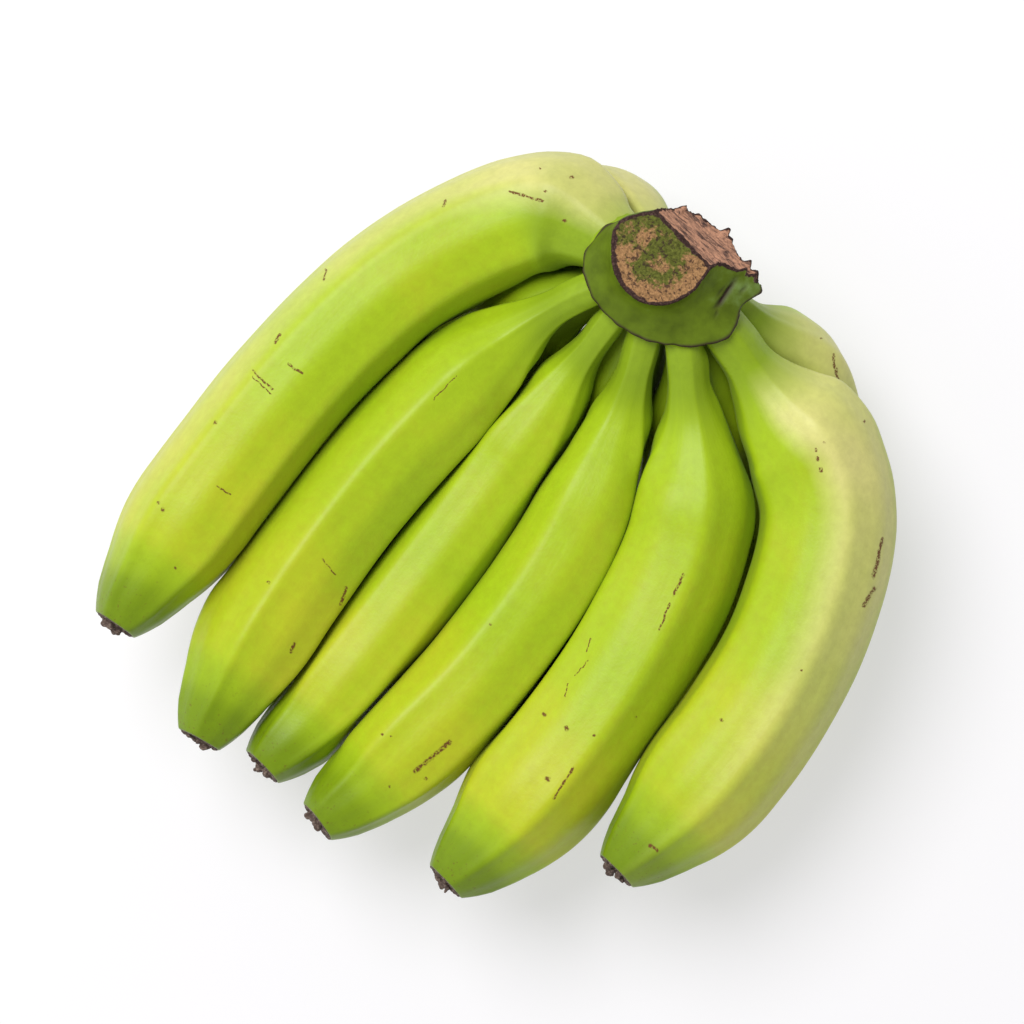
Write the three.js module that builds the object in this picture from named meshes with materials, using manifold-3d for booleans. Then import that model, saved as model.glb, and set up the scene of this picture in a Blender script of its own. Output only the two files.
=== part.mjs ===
// A hand of green bananas, lying on its outer row with the cut crown up (millimetres, +Z up).
// Seen from above, the crown is at +Y and the fingers fan out from it towards -Y.
import * as THREE from "three";
import { mergeVertices } from "three/addons/utils/BufferGeometryUtils.js";
import Module from "manifold-3d";

const wasm = await Module();
wasm.setup();

// Driving dimensions, in millimetres unless a comment says otherwise.
const SECTION_SIDES = 15; // three to each of the five faces of a banana
const SECTION_STEP = 8; // between two sections along a finger
const RIDGE_SHARE = 0.042; // how far the five ridges stand out, as a share of the radius
const TIP_WIDTH = 14.5;
const TIP_TAPER = 42; // length over which a finger narrows to its tip
const TIP_NECK = 1.06; // how much it waists just before the tip: 1 is a plain round nose
const ROOT_LENGTH = 7; // the first part of each stalk grows as one with the crown
const JOINT_GAP = 0.3; // between a stalk and its root, and between a tip and its blossom end
const SKIN_GAP = 0.8; // between two fingers that press on each other
const LINE_SAMPLES = 80; // spheres that stand for a finger when its neighbours are pressed flat
const CROWN_TOP = 96; // height of the knife cut
const CROWN_RIM = 84; // height of the rim round the crown
const REMNANT_LENGTH = 2.6; // the dried blossom end on each tip

// Each finger is set by its greatest width, the width and length of its stalk, the length of its
// shoulder, the turn of its ridges in degrees, and the points that its centre line passes on the
// way from the crown to the tip.
const FINGERS = [
  {
    name: "front_finger_1", width: 38, stalk: [20, 3], shoulder: 24, turn: 29,
    line: [[-18, 93, 75.5], [-27.5, 93, 72.5], [-36, 93.3, 67.5], [-46, 89.5, 62.5],
      [-58.5, 75.5, 60], [-73, 47, 61], [-82, 8, 62], [-86, -35, 62], [-87, -62, 64],
      [-87.5, -85, 68]],
  },
  {
    name: "front_finger_2", width: 36.5, stalk: [10.5, 20], shoulder: 44, turn: 10,
    line: [[-15.5, 84.5, 80], [-22.7, 76, 76], [-27, 69, 72], [-31.5, 60, 66.5], [-35.5, 49, 61],
      [-41, 29, 57], [-47, -3, 56], [-50, -42, 56], [-49.5, -75, 58], [-47.5, -101, 63]],
  },
  {
    name: "front_finger_3", width: 32.5, stalk: [10, 22], shoulder: 42, turn: 36,
    line: [[-11, 84, 80], [-12, 75, 76], [-12.6, 66, 71], [-13.5, 55, 63.5], [-14.5, 28, 53],
      [-16, -3, 51], [-18.5, -42, 51], [-22, -75, 53], [-27, -98, 58]],
  },
  {
    name: "front_finger_4", width: 37, stalk: [11, 20], shoulder: 50, turn: 28,
    line: [[-4, 84, 80], [-1, 75, 76], [2.3, 65, 70.5], [7, 50, 62], [12.5, 28, 57],
      [15.5, -3, 55], [13, -38, 55], [7, -66, 56], [2.5, -86, 58], [-3.5, -102.5, 62]],
  },
  {
    name: "front_finger_5", width: 41, stalk: [12.5, 21], shoulder: 42, turn: -14,
    line: [[4, 86, 80], [11.5, 77.5, 76], [18.5, 69, 71], [27, 59.5, 65], [36, 45, 60],
      [45, 19, 58], [48.5, -14, 58], [47, -50, 58], [43, -78, 60], [38.6, -96.3, 63]],
  },
  {
    name: "front_finger_6", width: 41, stalk: [15, 20], shoulder: 34, turn: -13,
    line: [[9, 90, 78.5], [20, 88, 74.5], [31, 84, 70.5], [43, 79.7, 66], [57.5, 74.8, 63],
      [74.5, 60.5, 62], [86.3, 29.5, 62], [89.4, -5, 62], [86.2, -37, 63], [80, -65, 67]],
  },
  {
    name: "back_finger_1", width: 36.5, stalk: [15, 1], shoulder: 36, turn: 0,
    line: [[-9, 97, 70], [-16, 99.5, 61], [-25, 100.5, 50], [-36, 97, 35.5], [-53, 84, 22],
      [-70, 53, 17.5], [-80, 14, 17.2], [-83, -22, 17.2], [-80, -56, 23]],
  },
  {
    name: "back_finger_2", width: 36, stalk: [16, 4], shoulder: 36, turn: 24,
    line: [[-14, 88, 72], [-21, 82, 63], [-29, 74, 51], [-36, 60, 37], [-41, 40, 24],
      [-45, 12, 17], [-45, -24, 17], [-42, -60, 23]],
  },
  {
    name: "back_finger_3", width: 36, stalk: [18, 2], shoulder: 34, turn: 0,
    line: [[-4, 87, 72], [-4, 80, 62], [-3.5, 71, 49], [-3, 57, 34], [-1.5, 37, 22],
      [0, 10, 17], [0.5, -24, 17], [2, -58, 23]],
  },
  {
    name: "back_finger_4", width: 36, stalk: [16, 4], shoulder: 36, turn: -24,
    line: [[5, 88, 72], [12, 82.5, 63], [21, 74, 51], [30.5, 60.5, 37], [39, 40, 24], [44, 12, 17],
      [45, -24, 17], [43, -60, 23]],
  },
  {
    name: "back_finger_5", width: 37.5, stalk: [12, 16], shoulder: 38, turn: 0,
    line: [[4, 96.5, 74], [15, 96.5, 69], [26, 95.5, 60.5], [38, 93, 46], [55, 83, 29], [72, 60, 19],
      [82, 23, 17.6], [84, -10, 17.6], [80.5, -38, 21]],
  },
];

// Corners of the smooth curves round the crown, from its front to the right: on the rim, then on
// the edge of the top.
const CROWN_CORNERS = [
  [[-4.5, 72.3], [-7, 80.6]],
  [[2.8, 73.2], [-1.7, 83.2]],
  [[10.5, 77.4], [1.3, 86.6]],
  [[18, 83], [3.1, 90.5]],
  [[20.8, 87.7], [4, 94]],
  [[19.6, 93], [4.2, 97]],
  [[18.6, 98.5], [4.4, 101]],
  [[21.2, 103.6], [5, 105]],
  [[12, 108.5], [4, 110]],
  [[2.8, 112.7], [0, 112.5]],
  [[-11.5, 111.3], [-11, 111.3]],
  [[-17.5, 106.8], [-18.2, 105.9]],
  [[-24, 101], [-24, 100.3]],
  [[-28, 93.5], [-26.3, 95.5]],
  [[-29.3, 86.5], [-25, 91.8]],
  [[-27, 79.8], [-22.6, 88]],
  [[-19.5, 74.6], [-19, 83.5]],
  [[-12.5, 72.4], [-13, 80.8]],
];
const CROWN_SIDES = 36;
// From below: height, how far along from the rim to the top, and the size about the middle.
const CROWN_LEVELS = [
  [60, 0, 0.3], [63, 0, 0.6], [69, 0, 0.78], [76, 0, 0.88], [81.5, 0, 0.95], [CROWN_RIM, 0, 1],
  [CROWN_RIM + 0.8, 0.03, 1], [86.8, 0.4, 1], [89.5, 0.72, 1], [93, 0.94, 1],
  [CROWN_TOP + 6, 1.05, 1],
];

const colour = {
  peel: 0xb2cd3c,
  crown: 0x5f8f2c,
  blossom: 0x4b3c37,
};

function material(tone, roughness) {
  return new THREE.MeshStandardMaterial({ color: tone, roughness, metalness: 0 });
}

const smooth = (t) => THREE.MathUtils.smoothstep(t, 0, 1);

// A closed skin over rings of equal length, with a flat fan at each end.
function skin(rings) {
  const sides = rings[0].length;
  const points = rings.flat();
  const faces = [];
  for (let ring = 0; ring + 1 < rings.length; ring++) {
    for (let side = 0; side < sides; side++) {
      const next = (side + 1) % sides;
      const a = ring * sides + side;
      const b = ring * sides + next;
      faces.push(a, b, b + sides, a, b + sides, a + sides);
    }
  }
  const last = (rings.length - 1) * sides;
  for (let side = 1; side + 1 < sides; side++) {
    faces.push(0, side + 1, side);
    faces.push(last, last + side, last + side + 1);
  }
  return new THREE.BufferGeometry().setFromPoints(points).setIndex(faces);
}

function solidOf(geometry) {
  const merged = mergeVertices(geometry, 1e-4);
  return new wasm.Manifold(
    new wasm.Mesh({
      numProp: 3,
      vertProperties: merged.attributes.position.array,
      triVerts: new Uint32Array(merged.index.array),
    }),
  );
}

function geometryOf(solid) {
  const mesh = solid.getMesh();
  return new THREE.BufferGeometry()
    .setAttribute("position", new THREE.BufferAttribute(mesh.vertProperties, 3))
    .setIndex(new THREE.BufferAttribute(mesh.triVerts, 1));
}

// Half the width of a finger at a distance along its centre line.
function radiusAt(finger, along) {
  const full = finger.width / 2;
  const stalk = finger.stalk[0] / 2;
  const tip = TIP_WIDTH / 2;
  const swell = smooth((along - finger.stalk[1]) / finger.shoulder);
  const left = Math.min(1, Math.max(0, (finger.length - along) / TIP_TAPER)) ** TIP_NECK;
  const taper = tip / full + (1 - tip / full) * Math.sin((left * Math.PI) / 2);
  return (stalk + (full - stalk) * swell) * taper;
}

// The centre, tangent and two cross directions of a finger at a distance along its line. The
// first cross direction is carried back from the tip, where it points up.
function prepare(finger) {
  const curve = new THREE.CatmullRomCurve3(
    finger.line.map((p) => new THREE.Vector3(...p)),
    false,
    "centripetal",
  );
  curve.arcLengthDivisions = 400;
  finger.length = curve.getLength();
  finger.frames = [];
  let up = new THREE.Vector3(0, 0, 1);
  for (let i = LINE_SAMPLES; i >= 0; i--) {
    const centre = curve.getPointAt(i / LINE_SAMPLES);
    const tangent = curve.getTangentAt(i / LINE_SAMPLES);
    up = up.clone().addScaledVector(tangent, -up.dot(tangent)).normalize();
    finger.frames[i] = { centre, tangent, up, side: tangent.clone().cross(up) };
  }
}

function frameAt(finger, along) {
  const place = Math.min(LINE_SAMPLES, Math.max(0, (along / finger.length) * LINE_SAMPLES));
  const i = Math.min(LINE_SAMPLES - 1, Math.floor(place));
  const t = place - i;
  const mix = (key) => finger.frames[i][key].clone().lerp(finger.frames[i + 1][key], t);
  return {
    centre: mix("centre"),
    tangent: mix("tangent").normalize(),
    up: mix("up").normalize(),
    side: mix("side").normalize(),
  };
}

// How far a point may stand out from its section's centre before a neighbour presses it flat.
function pressed(finger, centre, radius, out) {
  let limit = 1;
  for (const other of FINGERS) {
    if (other === finger) continue;
    for (let i = 0; i <= LINE_SAMPLES; i++) {
      const apart = other.frames[i].centre.clone().sub(centre);
      const distance = apart.length();
      const otherRadius = radiusAt(other, (i / LINE_SAMPLES) * other.length);
      if (distance > (radius + otherRadius) * (1 + RIDGE_SHARE) + SKIN_GAP) continue;
      const plane = (distance ** 2 + radius ** 2 - otherRadius ** 2) / (2 * distance);
      const reach = out.dot(apart) / distance;
      if (reach > 0) limit = Math.min(limit, (plane - SKIN_GAP / 2) / reach);
    }
  }
  return limit;
}

// The closed outline of a finger's skin at a distance along it, grown by a clearance.
function section(finger, along, grow = 0) {
  const { centre, up, side } = frameAt(finger, along);
  const radius = radiusAt(finger, along);
  const ring = [];
  for (let i = 0; i < SECTION_SIDES; i++) {
    const angle = (i / SECTION_SIDES) * 2 * Math.PI;
    const ridge = 1 + RIDGE_SHARE * Math.cos(5 * angle);
    const turned = angle + THREE.MathUtils.degToRad(finger.turn);
    const out = new THREE.Vector3()
      .addScaledVector(up, Math.cos(turned) * radius * ridge)
      .addScaledVector(side, Math.sin(turned) * radius * ridge);
    out.multiplyScalar(pressed(finger, centre, radius, out));
    out.setLength(out.length() + grow);
    const point = centre.clone().add(out);
    point.z = Math.max(point.z, 0);
    ring.push(point);
  }
  return ring;
}

// Where the sections of a finger are, from its joint with the crown to its tip.
function stations(finger) {
  const steps = Math.round((finger.length - ROOT_LENGTH) / SECTION_STEP);
  const step = (finger.length - ROOT_LENGTH) / steps;
  return Array.from({ length: steps + 1 }, (_, i) => ROOT_LENGTH + i * step);
}

function sweep(finger, places, grow = 0) {
  return skin(places.map((along) => section(finger, along, grow)));
}

// The dried blossom end: a small ragged knob beyond the tip.
function remnant(finger) {
  const { centre, tangent, up, side } = frameAt(finger, finger.length);
  const profile = [
    [JOINT_GAP, 0.88], [1.1, 0.93], [2.2, 0.7], [REMNANT_LENGTH, 0.35],
  ];
  const sides = 10;
  const rings = profile.map(([out, share]) => {
    const ring = [];
    for (let i = 0; i < sides; i++) {
      const angle = (i / sides) * 2 * Math.PI;
      const ragged = 1 + 0.08 * Math.sin(3 * angle + finger.turn) * (out > 1 ? 1 : 0);
      const radius = (TIP_WIDTH / 2) * share * ragged;
      ring.push(
        centre.clone()
          .addScaledVector(tangent, out)
          .addScaledVector(up, Math.cos(angle) * radius)
          .addScaledVector(side, Math.sin(angle) * radius),
      );
    }
    return ring;
  });
  return skin(rings);
}

function closedCurve(corners) {
  const points = corners.map(([x, y]) => new THREE.Vector3(x, y, 0));
  return new THREE.CatmullRomCurve3(points, true, "centripetal");
}

// The cushion that the stalks grow from, from its underside to above the knife cut.
function cushion() {
  const rim = closedCurve(CROWN_CORNERS.map((corner) => corner[0]));
  const top = closedCurve(CROWN_CORNERS.map((corner) => corner[1]));
  const middle = new THREE.Vector3(-5, 92, 0);
  const rings = CROWN_LEVELS.map(([height, share, size]) => {
    const ring = [];
    for (let i = 0; i < CROWN_SIDES; i++) {
      const at = i / CROWN_SIDES;
      const point = rim.getPoint(at).lerp(top.getPoint(at), share);
      point.sub(middle).multiplyScalar(size).add(middle);
      point.z = height;
      ring.push(point);
    }
    return ring;
  });
  return solidOf(skin(rings));
}

// A block whose lower face is the plane of a cut, to take away all that is above it. The plane
// falls by the given angle towards a heading, in degrees from +X.
function cutter(x, y, z, fall, heading) {
  const block = new THREE.BoxGeometry(160, 160, 80).translate(0, 0, 40);
  block.deleteAttribute("normal");
  block.deleteAttribute("uv");
  block.rotateY(THREE.MathUtils.degToRad(fall));
  block.rotateZ(THREE.MathUtils.degToRad(heading));
  block.translate(x, y, z);
  return solidOf(block);
}

function crown() {
  let solid = cushion();
  for (const finger of FINGERS) {
    solid = solid.add(solidOf(sweep(finger, [0, ROOT_LENGTH - JOINT_GAP])));
  }
  for (const finger of FINGERS) {
    const near = stations(finger).slice(0, 5);
    const room = sweep(finger, [ROOT_LENGTH - JOINT_GAP, ...near], JOINT_GAP);
    solid = solid.subtract(solidOf(room));
  }
  solid = solid.subtract(cutter(-10, 93, CROWN_TOP, 3, -60));
  solid = solid.subtract(cutter(-7.5, 103, CROWN_TOP, 52, 76));
  const bodies = solid.decompose().sort((a, b) => b.volume() - a.volume());
  return geometryOf(bodies[0]);
}

FINGERS.forEach(prepare);
const hand = new THREE.Group();

function place(name, geometry, tone, roughness) {
  const mesh = new THREE.Mesh(geometry, material(tone, roughness));
  mesh.name = name;
  hand.add(mesh);
}

place("crown", crown(), colour.crown, 0.6);
for (const finger of FINGERS) {
  place(finger.name, sweep(finger, stations(finger)), colour.peel, 0.5);
  place(finger.name.replace("finger", "blossom"), remnant(finger), colour.blossom, 0.95);
}

// The origin is under the middle of the whole hand, on the surface that it lies on.
const box = new THREE.Box3().setFromObject(hand);
const middle = box.getCenter(new THREE.Vector3());
hand.position.set(-middle.x, -middle.y, -box.min.z);

export default hand;
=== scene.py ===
"""A hand of green bananas: its fingers, crown, blossom ends and stage, built around the CAD frame."""

import math

import bmesh
import bpy
import numpy as np
from bpy.props import FloatProperty, FloatVectorProperty, IntProperty, PointerProperty
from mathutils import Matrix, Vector, kdtree, noise


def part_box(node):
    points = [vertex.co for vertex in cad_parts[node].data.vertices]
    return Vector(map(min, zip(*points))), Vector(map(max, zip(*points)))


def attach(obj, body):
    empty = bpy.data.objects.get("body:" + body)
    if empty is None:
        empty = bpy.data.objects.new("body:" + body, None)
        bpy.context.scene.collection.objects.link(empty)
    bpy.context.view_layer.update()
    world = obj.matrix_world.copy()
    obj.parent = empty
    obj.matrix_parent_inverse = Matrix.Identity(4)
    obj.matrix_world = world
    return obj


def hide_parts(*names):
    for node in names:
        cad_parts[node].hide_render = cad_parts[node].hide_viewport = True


bl_info = {
    "name": "Hand of green bananas",
    "version": (1, 0, 0),
    "blender": (4, 5, 0),
    "location": "View3D > Sidebar > Bananas",
    "description": "Builds a hand of green bananas around its CAD frame",
    "category": "Object",
}

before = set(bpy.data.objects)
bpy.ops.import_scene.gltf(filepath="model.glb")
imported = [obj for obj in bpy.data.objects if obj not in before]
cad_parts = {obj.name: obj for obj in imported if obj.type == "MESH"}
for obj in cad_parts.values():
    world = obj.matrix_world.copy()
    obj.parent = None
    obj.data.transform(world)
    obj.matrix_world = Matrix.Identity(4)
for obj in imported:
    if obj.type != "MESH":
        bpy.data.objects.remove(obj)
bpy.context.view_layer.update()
MM = 0.001
FRONT = sorted(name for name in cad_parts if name.startswith("front_finger"))
BACK = sorted(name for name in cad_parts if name.startswith("back_finger"))
RIDGES = 5  # the faces of a banana
FRAME_RIDGE = 0.042  # how far they stand out in the frame, as a share of the radius

VIEW_CENTRE = (-7.9 * MM, 3.1 * MM)  # what the camera is right above
KEY_PLACE = (-0.62, 0.2, 1.3)
KEY_SIZE = 0.8
RIM_SHARE = 0.656  # how far up the crown its rim is
CORNER_HARDNESS = 12  # of a finger's five corners: more is sharper

# The scuffs of a finger: start and end of each and half its width, read in millimetres from
# MARK_ORIGIN, as they look from the camera against a level plane at MARK_PLANE. placed_marks works
# out where on the finger each one is.
MARK_ORIGIN = (-2.7, -5.3)  # from the middle of the hand, in millimetres
MARK_PLANE = 60 * MM
MARKS = {
    "front_finger_1": [
        ((-95, 1.5), (-87, 0), 0.4), ((-94, 0), (-86.5, -1.5), 0.3), ((-87, 9), (-82, 9), 0.45),
        ((-85, -34), (-80, -34), 0.35), ((-96, -18), (-96, -18), 0.8),
        ((-97, -48), (-97, -48), 0.8), ((-95, -49), (-95, -49), 0.8), ((-82, -62), (-82, -62), 0.6),
        ((-74, 77), (-73.5, 75), 0.6), ((-93, 39.5), (-92, 36.5), 0.5), ((-94, 15), (-94, 12.5), 0.7),
        ((-59, 90), (-52, 92), 0.6), ((-51, 92.3), (-49, 93), 0.6), ((-40, 91.5), (-40, 91.5), 0.8),
        ((-45.5, 104), (-45.5, 104), 0.9), ((-55, 101), (-55, 101), 0.5), ((-50, 96), (-50, 96), 0.6),
    ],
    "front_finger_2": [
        ((-35, -38.5), (-33.7, -43.5), 0.7), ((-56, -50), (-55.5, -50), 0.6),
        ((-39, -61.5), (-38.5, -64), 0.7), ((-42, 34), (-44, 24), 0.25), ((-46, -35), (-40, -37), 0.3),
    ],
    "front_finger_4": [
        ((13, -74), (17, -61), 1.0), ((-1.5, -70), (-1.5, -70), 0.6), ((1, -69), (1, -69), 0.5),
        ((17, -74), (17, -74), 0.8), ((9, -82), (9, -82), 0.7), ((8, -24), (8, -24), 0.6),
    ],
    "front_finger_5": [
        ((49, 21), (50, 14), 0.55), ((50.3, 11), (52, 3), 0.45), ((45, -38), (44.5, -37.5), 0.8),
        ((37, -38), (36.5, -38), 0.7), ((48, -54), (48.5, -54), 1.0), ((53, -47), (53, -58), 0.5),
        ((53, -35), (53, -35), 0.7), ((60.5, -23.5), (60.5, -23.5), 0.5), ((36, -11), (37, -15), 0.25),
        ((39, -17), (38, -23), 0.25), ((37.5, -26), (39, -30), 0.25),
    ],
    "front_finger_6": [
        ((94, 63), (96, 57), 0.8), ((96, 57.5), (98, 52), 1.0), ((100, 49), (100.3, 43), 0.9),
        ((85.5, -54), (88, -54), 0.7), ((83, -10), (83, -10), 0.7), ((95, 16), (95, 16), 0.6),
        ((62, 75), (62.5, 74.5), 0.6), ((64, 73), (64.5, 72.5), 0.6), ((66.5, 71), (67, 70), 0.7),
        ((63, 78), (63, 78), 0.6), ((70, 90), (70, 90), 0.6),
    ],
    "back_finger_5": [
        ((51, 102), (53, 99), 0.7), ((54, 98.5), (56, 96.5), 0.7), ((45, 104), (45, 104), 0.6),
    ],
}

# Which side of a finger has paled: the middle and half width of the side as angles from its top
# towards the left of the hand, in degrees, how soft its edge is, and how strong it is at shares of
# the finger's length from the stalk.
PALE = {
    "front_finger_1": (
        76, 42, 36, ((0.0, 0.2), (0.05, 0.7), (0.14, 0.8), (0.45, 0.42), (0.8, 0.34), (0.97, 0.1))),
    "front_finger_6": (
        -40, 44, 26, ((0.09, 0.0), (0.18, 0.75), (0.3, 0.9), (0.5, 0.7), (0.7, 0.45), (0.92, 0.1))),
    "back_finger_1": (
        30, 80, 40, ((0.0, 0.3), (0.08, 0.8), (0.2, 0.8), (0.65, 0.25), (0.95, 0.1))),
    "back_finger_5": (
        -30, 80, 40, ((0.08, 0.0), (0.17, 0.65), (0.25, 0.75), (0.65, 0.25), (0.95, 0.1))),
}


class PeelSettings(bpy.types.PropertyGroup):
    """The skin of the fingers."""

    fresh: FloatVectorProperty(
        name="Fresh peel", description="Peel on the middle of a finger",
        default=(0.315, 0.45, 0.009), subtype="COLOR", min=0, max=1)
    ripe: FloatVectorProperty(
        name="Ripening peel", description="Peel that starts to turn yellow, above the tip",
        default=(0.46, 0.475, 0.018), subtype="COLOR", min=0, max=1)
    green: FloatVectorProperty(
        name="Green peel", description="Peel at the tip and beside the stalk",
        default=(0.145, 0.23, 0.002), subtype="COLOR", min=0, max=1)
    stalk: FloatVectorProperty(
        name="Stalk", description="The stalk of each finger",
        default=(0.23, 0.34, 0.012), subtype="COLOR", min=0, max=1)
    pale: FloatVectorProperty(
        name="Pale flush", description="The side of an outer finger that has paled",
        default=(0.60, 0.56, 0.20), subtype="COLOR", min=0, max=1)
    scuff: FloatVectorProperty(
        name="Scuffs", description="Freckles, scratches and scars",
        default=(0.12, 0.035, 0.01), subtype="COLOR", min=0, max=1)
    facet: FloatProperty(
        name="Facets", description="How flat the faces of a finger are: 0 is round, 1 is five flat faces",
        default=0.55, min=0, max=1)
    ridge_height: FloatProperty(
        name="Ridge height", description="How far the lengthwise ridges stand out near the tip",
        default=0.35 * MM, unit="LENGTH", min=0, max=2 * MM)
    lump_height: FloatProperty(
        name="Lump height", description="Height of the gentle unevenness of the skin",
        default=0.35 * MM, unit="LENGTH", min=0, max=2 * MM)
    around: IntProperty(
        name="Sides", description="Points round a finger", default=120, min=20, max=200)
    along: IntProperty(
        name="Steps", description="Rows of points between two sections of the frame",
        default=4, min=1, max=12)


class CrownSettings(bpy.types.PropertyGroup):
    """The crown that the fingers grow from."""

    skin: FloatVectorProperty(
        name="Crown skin", description="The green sides of the crown",
        default=(0.09, 0.135, 0.006), subtype="COLOR", min=0, max=1)
    bloom: FloatVectorProperty(
        name="Bloom", description="The bluish wax on the crown",
        default=(0.14, 0.21, 0.07), subtype="COLOR", min=0, max=1)
    flesh: FloatVectorProperty(
        name="Cut fibres", description="The dry fibres of the cut",
        default=(0.31, 0.17, 0.075), subtype="COLOR", min=0, max=1)
    sap: FloatVectorProperty(
        name="Green flesh", description="The patches of the cut that are still green",
        default=(0.10, 0.11, 0.02), subtype="COLOR", min=0, max=1)
    fibre: FloatVectorProperty(
        name="Torn fibres", description="The pinkish fibres of the tear",
        default=(0.52, 0.27, 0.17), subtype="COLOR", min=0, max=1)
    # Also painted into the folds of the crown as painted shade.
    bark_and_fold_shade: FloatVectorProperty(
        name="Dried edge", description="The dark edge round each cut and the rim of the crown",
        default=(0.035, 0.018, 0.016), subtype="COLOR", min=0, max=1)
    scab: FloatVectorProperty(
        name="Scab", description="The lighter crumbs of the dried edges",
        default=(0.13, 0.075, 0.06), subtype="COLOR", min=0, max=1)
    voxel: FloatProperty(
        name="Detail", description="Size of the finest shape on the crown",
        default=0.45 * MM, unit="LENGTH", min=0.2 * MM, max=2 * MM)


class BlossomSettings(bpy.types.PropertyGroup):
    """The dried blossom ends."""

    crust: FloatVectorProperty(
        name="Crust", description="The dark crust of a blossom end",
        default=(0.075, 0.048, 0.038), subtype="COLOR", min=0, max=1)
    dust: FloatVectorProperty(
        name="Dust", description="The pale crumbs of a blossom end",
        default=(0.27, 0.20, 0.16), subtype="COLOR", min=0, max=1)
    crumbs: IntProperty(
        name="Lumps", description="Knobs of the old flower on each blossom end", default=8, min=0, max=30)


class StageSettings(bpy.types.PropertyGroup):
    """The floor, the lights and the camera."""

    camera_height: FloatProperty(
        name="Camera height", description="Height of the camera above the floor",
        default=0.93, unit="LENGTH", min=0.3, max=3)
    camera_turn: FloatProperty(
        name="Camera turn", description="Turn of the picture about the vertical",
        default=math.radians(33), subtype="ANGLE")
    lens: FloatProperty(
        name="Lens", description="Focal length in millimetres", default=100.3, min=20, max=300)
    key_power: FloatProperty(
        name="Key light", description="Power of the large soft light", default=18.5, min=0, max=500)
    fill: FloatProperty(
        name="Fill", description="Brightness of the white surroundings",
        default=0.72, min=0, max=3)
    overhead: FloatProperty(
        name="Overhead", description="Brightness right above, where the camera is in the way",
        default=0.22, min=0, max=3)
    lean: FloatProperty(
        name="Lean", description="How much dimmer the surroundings are to the right than to the left",
        default=0.3, min=0, max=1)
    floor_glow: FloatProperty(
        name="Floor glow", description="Light that the floor gives of its own",
        default=0.5, min=0, max=1)
    floor: FloatVectorProperty(
        name="Floor", description="Colour of the floor",
        default=(0.42, 0.41, 0.43), subtype="COLOR", min=0, max=1)


# Shapes from the frame


def welded(name):
    """The corners of a CAD node with doubles merged, and the corners next to each."""
    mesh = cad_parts[name].data
    places = np.array([v.co for v in mesh.vertices])
    keys = np.round(places / (0.001 * MM)).astype(int)
    _, first, alias = np.unique(keys, axis=0, return_index=True, return_inverse=True)
    alias = alias.reshape(-1)
    beside = [set() for _ in first]
    for edge in mesh.edges:
        a, b = (int(alias[v]) for v in edge.vertices)
        if a != b:
            beside[a].add(b)
            beside[b].add(a)
    return places[first], beside


def smooth_between(knots, values, at):
    """A smooth curve through values at knots, read at new places inside them."""
    gaps = np.diff(knots)[:, None]
    slopes = np.diff(values, axis=0) / gaps
    inner = (slopes[:-1] * gaps[1:] + slopes[1:] * gaps[:-1]) / (gaps[1:] + gaps[:-1])
    tangents = np.vstack([slopes[:1], inner, slopes[-1:]])
    i = np.clip(np.searchsorted(knots, at, side="right") - 1, 0, len(knots) - 2)
    gap = gaps[i]
    t = (np.asarray(at)[:, None] - knots[i][:, None]) / gap
    return (
        values[i] * (2 * t**3 - 3 * t**2 + 1) + tangents[i] * gap * (t**3 - 2 * t**2 + t)
        + values[i + 1] * (3 * t**2 - 2 * t**3) + tangents[i + 1] * gap * (t**3 - t**2)
    )


def sections(name):
    """The CAD sections of a finger from stalk to tip, found by walking back from its tip."""
    places, beside = welded(name)
    low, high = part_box(name.replace("finger", "blossom"))
    end = np.array((low + high) / 2)
    ring = {i for i, p in enumerate(places) if np.linalg.norm(p - end) < 10 * MM}
    seen = set(ring)
    rings = []
    while ring:
        rings.append(places[sorted(ring)])
        ring = {n for i in ring for n in beside[i]} - seen
        seen |= ring
    return rings[::-1]


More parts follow.
